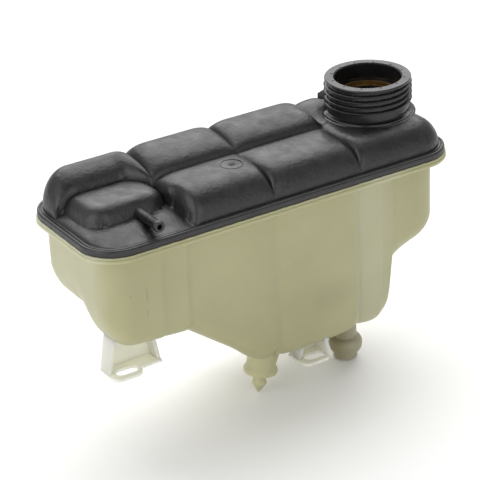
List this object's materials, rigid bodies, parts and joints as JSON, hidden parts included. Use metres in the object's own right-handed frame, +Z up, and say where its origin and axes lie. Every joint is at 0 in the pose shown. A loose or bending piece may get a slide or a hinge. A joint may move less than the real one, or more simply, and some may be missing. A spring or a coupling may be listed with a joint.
{
  "type": "coolant expansion tank",
  "caption": "Two-shell coolant expansion tank with domed bays, threaded filler neck, vent nipple, bottom outlet, slotted feet, locating peg and sliding level float.",
  "frame": {"origin": "centre of the filler neck's mouth", "axes": "+Z up out of the neck, +X along the tank towards the neck end, +Y to the rear"},
  "size_m": [0.28, 0.104, 0.2014],
  "materials": {
    "natural_plastic": "satin",
    "dark_plastic": "satin",
    "golden_metal": "satin",
    "float_foam": "matte"
  },
  "bodies": {
    "tank": {"lower_shell": "natural_plastic", "upper_shell": "dark_plastic", "neck_insert": "golden_metal"},
    "float": {"level_float": "float_foam"}
  },
  "joints": [
    {"name": "float_slide", "type": "slide", "parent": "tank", "child": "float", "axis": [0, 0, 1], "range_m": [0, 0.03]}
  ]
}
